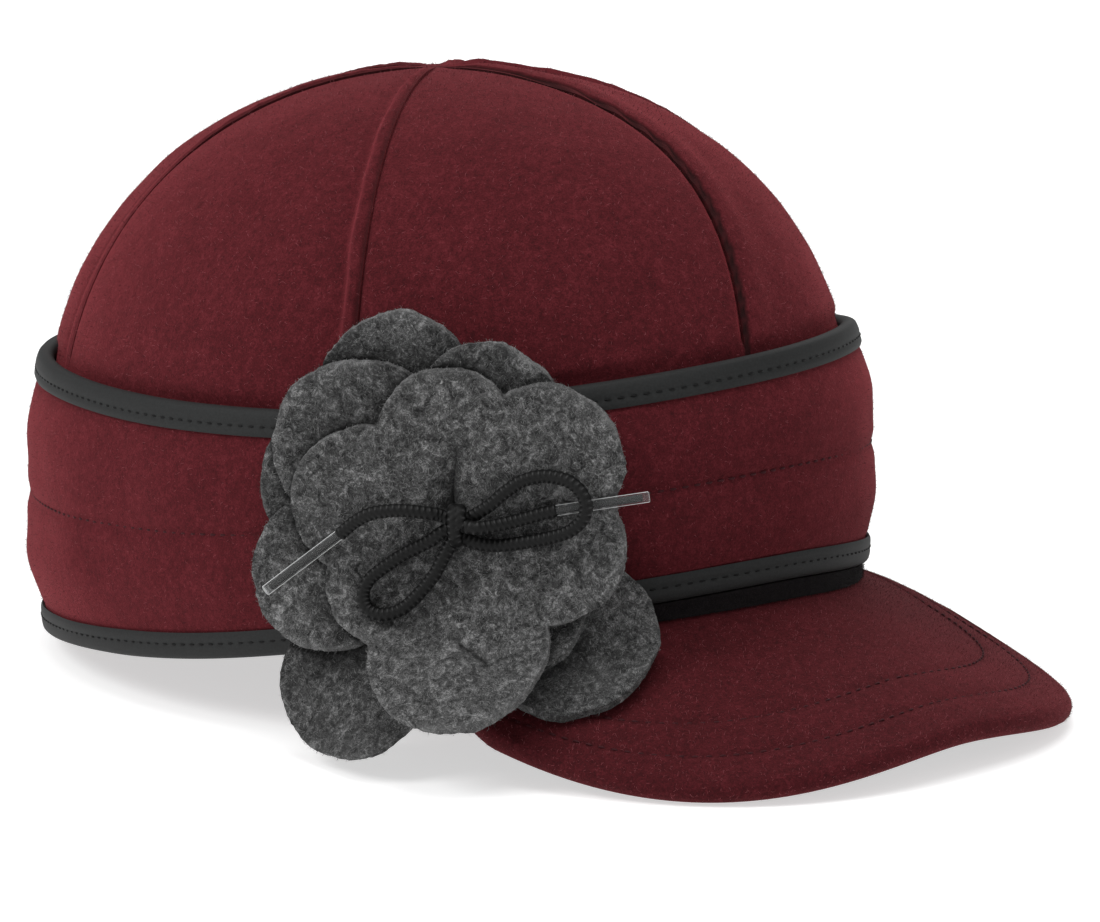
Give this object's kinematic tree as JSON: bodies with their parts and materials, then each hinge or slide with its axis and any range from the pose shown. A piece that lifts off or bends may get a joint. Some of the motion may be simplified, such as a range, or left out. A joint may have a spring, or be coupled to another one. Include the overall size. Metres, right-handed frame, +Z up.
{
  "type": "wool cap",
  "caption": "Panelled wool cap with a bound ear band, a curved peak, and a layered felt flower tied on with a cord bow.",
  "frame": {"origin": "middle of the footprint of the cap without its cord, at the surface it rests on", "axes": "+Z up, -Y the way the wearer faces, +X towards the wearer's left"},
  "size_m": [0.1913, 0.2714, 0.1411],
  "materials": {
    "crown_wool": "milled wool cloth, burgundy",
    "band_wool": "milled wool cloth, burgundy",
    "peak_wool": "milled wool cloth, burgundy",
    "binding_tape": "folded woven tape, charcoal",
    "dark_cloth": "dark brushed cloth",
    "grey_felt": "heather grey felt",
    "black_cord": "braided cord, black",
    "clear_tip": "clear plastic"
  },
  "bodies": {
    "root": {"crown_panel_1": "crown_wool", "crown_panel_2": "crown_wool", "crown_panel_3": "crown_wool", "crown_panel_4": "crown_wool", "crown_panel_5": "crown_wool", "crown_panel_6": "crown_wool", "ear_band": "band_wool", "upper_binding": "binding_tape", "lower_binding": "binding_tape", "base_tape": "dark_cloth", "visor_top": "peak_wool", "visor_under": "dark_cloth", "flower_back": "grey_felt", "flower_middle": "grey_felt", "flower_top": "grey_felt", "bow_knot": "black_cord", "bow_loop_left": "black_cord", "bow_loop_right": "black_cord", "bow_tail_left": "black_cord", "bow_tail_right": "black_cord", "aglet_left": "clear_tip", "aglet_right": "clear_tip"}
  },
  "joints": []
}
